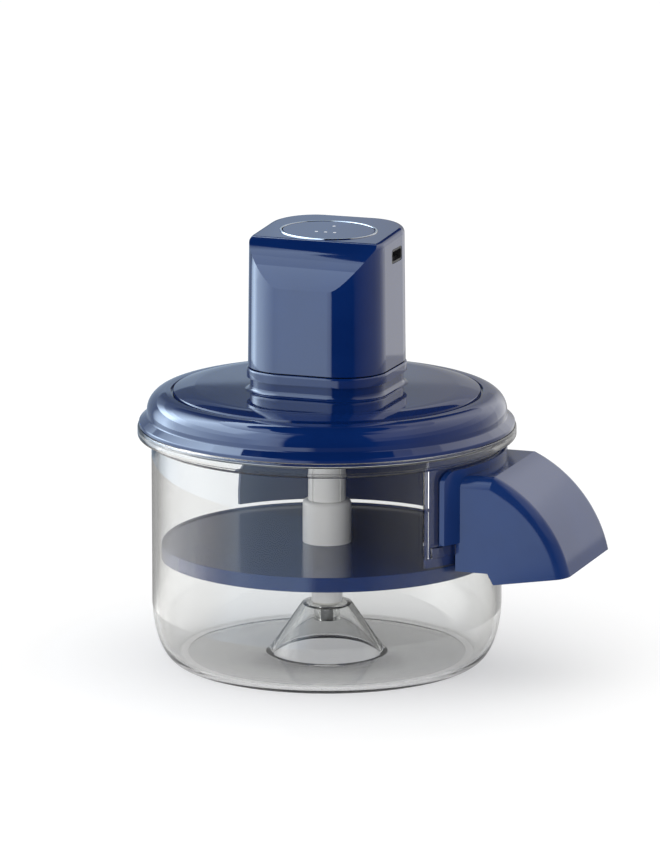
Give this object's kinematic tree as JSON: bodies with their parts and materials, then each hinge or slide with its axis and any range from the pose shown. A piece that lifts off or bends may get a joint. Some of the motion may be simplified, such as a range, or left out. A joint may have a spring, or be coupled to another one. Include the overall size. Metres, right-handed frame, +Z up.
{
  "type": "cordless garlic peeler",
  "caption": "Countertop garlic peeler: clear bowl with side chute, spinning peeling disc, domed lid and a rechargeable motor head with a planetary gearbox.",
  "frame": {"origin": "on the bowl's axis, on the plane that the foot ring stands on", "axes": "+Z up along the bowl's axis, +X towards the chute and the charging port, -Y towards the sloping front of the motor head"},
  "size_m": [0.2187, 0.178, 0.206],
  "materials": {
    "clear_bowl": "clear moulded plastic, polished",
    "navy_gloss": "deep navy plastic, high gloss",
    "navy_satin": "navy plastic, satin",
    "white_hub": "translucent white plastic",
    "soft_seal": "translucent grey silicone rubber",
    "black_seal": "black rubber",
    "gear_white": "off-white acetal",
    "inner_black": "black moulded plastic",
    "bright_steel": "ground steel",
    "zinc_steel": "zinc-plated steel",
    "ring_chrome": "chrome-plated plastic",
    "bronze": "sintered bronze",
    "ferrite": "dark ferrite",
    "copper_core": "steel laminations with copper windings",
    "cell_wrap": "green shrink wrap over steel cans",
    "board_green": "solder-masked circuit board",
    "light_white": "milky light pipe"
  },
  "bodies": {
    "bowl": {"bowl": "clear_bowl", "bowl_base": "clear_bowl", "bowl_floor": "clear_bowl", "bowl_cone": "clear_bowl", "spindle_pin": "bright_steel", "thrust_washer": "gear_white", "peeling_liner": "navy_gloss"},
    "chute": {"chute_hood": "navy_satin"},
    "disc": {"peeling_disc": "navy_satin", "drive_hub": "white_hub"},
    "lid": {"lid": "navy_gloss", "lid_shoulder": "navy_gloss", "lid_collar": "navy_gloss", "lid_gasket": "soft_seal", "lid_bush": "gear_white"},
    "motor_head": {"motor_housing": "navy_gloss", "base_plate": "inner_black", "base_screws": "zinc_steel", "shaft_seal": "black_seal", "shaft_bush": "bronze", "gear_case": "gear_white", "motor_plate": "zinc_steel", "case_screws": "zinc_steel", "motor_can": "zinc_steel", "magnets": "ferrite", "motor_cap": "inner_black", "cell_holder": "inner_black", "battery_cells": "cell_wrap", "circuit_board": "board_green", "board_screws": "zinc_steel", "usb_port": "bright_steel", "port_bezel": "inner_black", "tact_switch": "inner_black", "panel_ring": "ring_chrome", "button_spring": "bright_steel"},
    "button": {"top_button": "navy_gloss", "indicator_lights": "light_white", "switch_plunger": "inner_black"},
    "rotor": {"motor_shaft": "bright_steel", "armature": "copper_core", "sun_gear": "bronze"},
    "output": {"planet_carrier": "gear_white", "planet_pins": "bright_steel"},
    "planet_1": {"planet_gear_1": "gear_white"},
    "planet_2": {"planet_gear_2": "gear_white"},
    "planet_3": {"planet_gear_3": "gear_white"}
  },
  "joints": [
    {"name": "chute_pull", "type": "slide", "parent": "bowl", "child": "chute", "axis": [1, 0, 0], "range_m": [0, 0.06]},
    {"name": "disc_spin", "type": "hinge", "parent": "bowl", "child": "disc", "pos_m": [0, 0, 0.05], "axis": [0, 0, 1], "continuous": true},
    {"name": "lid_lift", "type": "slide", "parent": "bowl", "child": "lid", "axis": [0, 0, 1], "range_m": [0, 0.08]},
    {"name": "head_lift", "type": "slide", "parent": "lid", "child": "motor_head", "axis": [0, 0, 1], "range_m": [0, 0.06]},
    {"name": "button_press", "type": "slide", "parent": "motor_head", "child": "button", "axis": [0, 0, -1], "range_m": [0, 0.001], "stiffness_N_per_m": 400, "springref_m": -0.001, "deforming": ["button_spring"]},
    {"name": "output_spin", "type": "hinge", "parent": "motor_head", "child": "output", "pos_m": [0, 0, 0.137], "axis": [0, 0, 1], "continuous": true},
    {"name": "rotor_spin", "type": "hinge", "parent": "motor_head", "child": "rotor", "pos_m": [0, 0, 0.168], "axis": [0, 0, 1], "continuous": true},
    {"name": "planet_1_spin", "type": "hinge", "parent": "output", "child": "planet_1", "pos_m": [0.0108, 0, 0.1428], "axis": [0, 0, 1], "continuous": true},
    {"name": "planet_2_spin", "type": "hinge", "parent": "output", "child": "planet_2", "pos_m": [-0.0054, 0.00935, 0.1428], "axis": [0, 0, 1], "continuous": true},
    {"name": "planet_3_spin", "type": "hinge", "parent": "output", "child": "planet_3", "pos_m": [-0.0054, -0.00935, 0.1428], "axis": [0, 0, 1], "continuous": true}
  ],
  "couplings": [
    {"joint": "output_spin", "follows": "disc_spin", "ratio": 1},
    {"joint": "rotor_spin", "follows": "disc_spin", "ratio": 4},
    {"joint": "planet_1_spin", "follows": "disc_spin", "ratio": -3},
    {"joint": "planet_2_spin", "follows": "disc_spin", "ratio": -3},
    {"joint": "planet_3_spin", "follows": "disc_spin", "ratio": -3}
  ]
}
